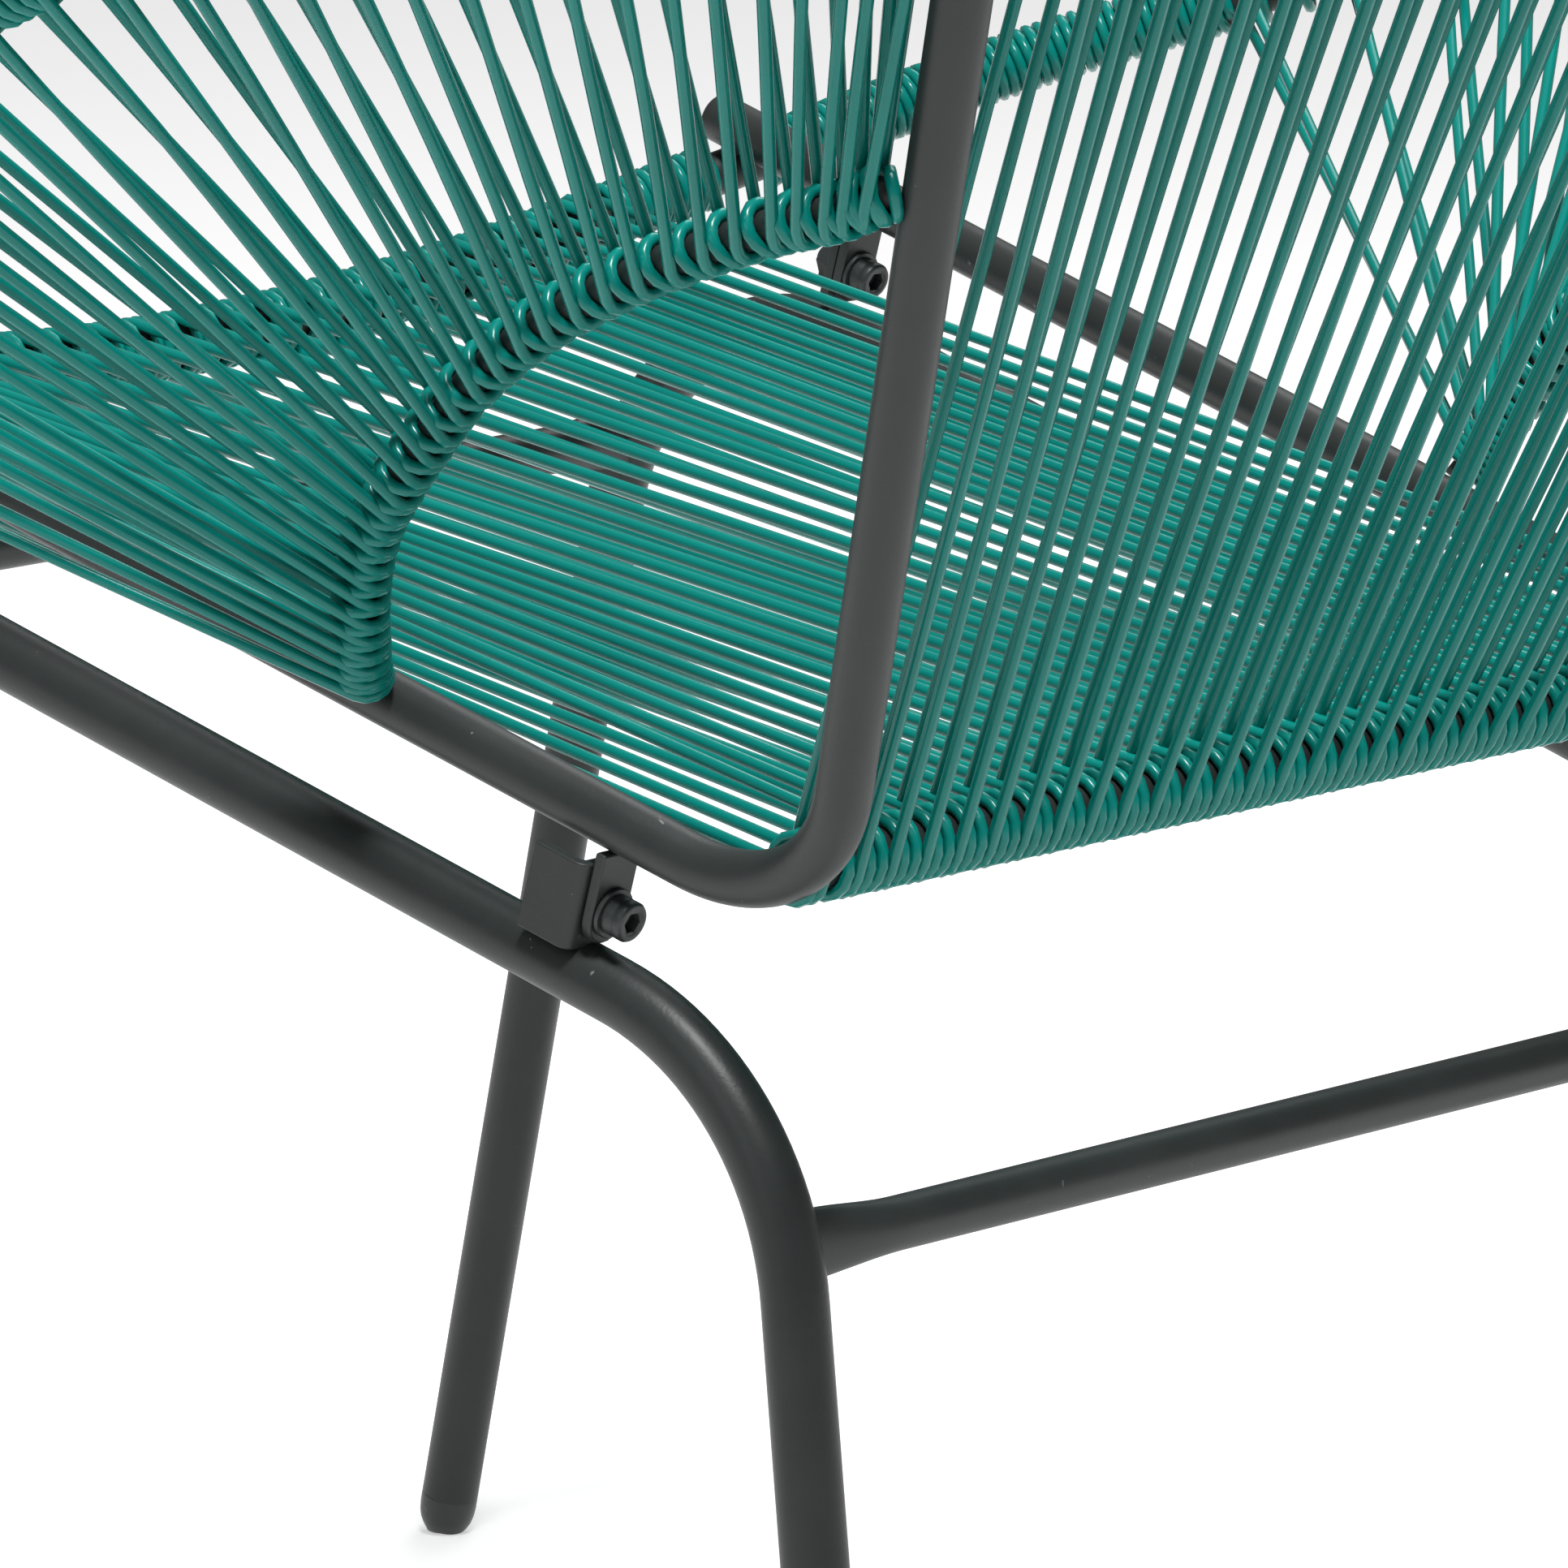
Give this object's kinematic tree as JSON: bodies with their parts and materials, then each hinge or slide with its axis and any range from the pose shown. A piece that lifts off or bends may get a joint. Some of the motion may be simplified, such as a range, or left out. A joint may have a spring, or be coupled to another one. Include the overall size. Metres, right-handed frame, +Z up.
{
  "type": "woven cord lounge chair",
  "caption": "Low round-hoop lounge chair: a bucket seat of plastic cord wound on a steel rod frame, bolted on two bent tube leg frames.",
  "frame": {"origin": "bottom centre of the bounding box, on the floor under the four feet", "axes": "+Z up, -Y the way the sitter faces, +X to the sitter's left"},
  "size_m": [0.761, 0.7992, 0.8627],
  "materials": {
    "charcoal_frame": "satin",
    "dark_fastener": "satin",
    "teal_cord": "gloss",
    "black_cap": "matte"
  },
  "bodies": {
    "root": {"outer_hoop": "charcoal_frame", "side_rod_left": "charcoal_frame", "side_rod_right": "charcoal_frame", "seat_cross_tube_rear": "charcoal_frame", "arc_brace_left": "charcoal_frame", "arc_brace_right": "charcoal_frame", "leg_frame_left": "charcoal_frame", "leg_frame_right": "charcoal_frame", "foot_cap_rear_left": "black_cap", "foot_cap_front_left": "black_cap", "foot_cap_rear_right": "black_cap", "foot_cap_front_right": "black_cap", "stretcher_rear": "charcoal_frame", "stretcher_front": "charcoal_frame", "seat_tab_rear_left": "charcoal_frame", "leg_bracket_rear_left": "charcoal_frame", "washer_rear_left": "dark_fastener", "bolt_rear_left": "dark_fastener", "nut_rear_left": "dark_fastener", "seat_tab_front_left": "charcoal_frame", "leg_bracket_front_left": "charcoal_frame", "washer_front_left": "dark_fastener", "bolt_front_left": "dark_fastener", "nut_front_left": "dark_fastener", "seat_tab_rear_right": "charcoal_frame", "leg_bracket_rear_right": "charcoal_frame", "washer_rear_right": "dark_fastener", "bolt_rear_right": "dark_fastener", "nut_rear_right": "dark_fastener", "seat_tab_front_right": "charcoal_frame", "leg_bracket_front_right": "charcoal_frame", "washer_front_right": "dark_fastener", "bolt_front_right": "dark_fastener", "nut_front_right": "dark_fastener", "back_cord_panel": "teal_cord", "seat_cord_panel": "teal_cord", "wing_cord_panel_left": "teal_cord", "wing_cord_panel_right": "teal_cord"}
  },
  "joints": []
}
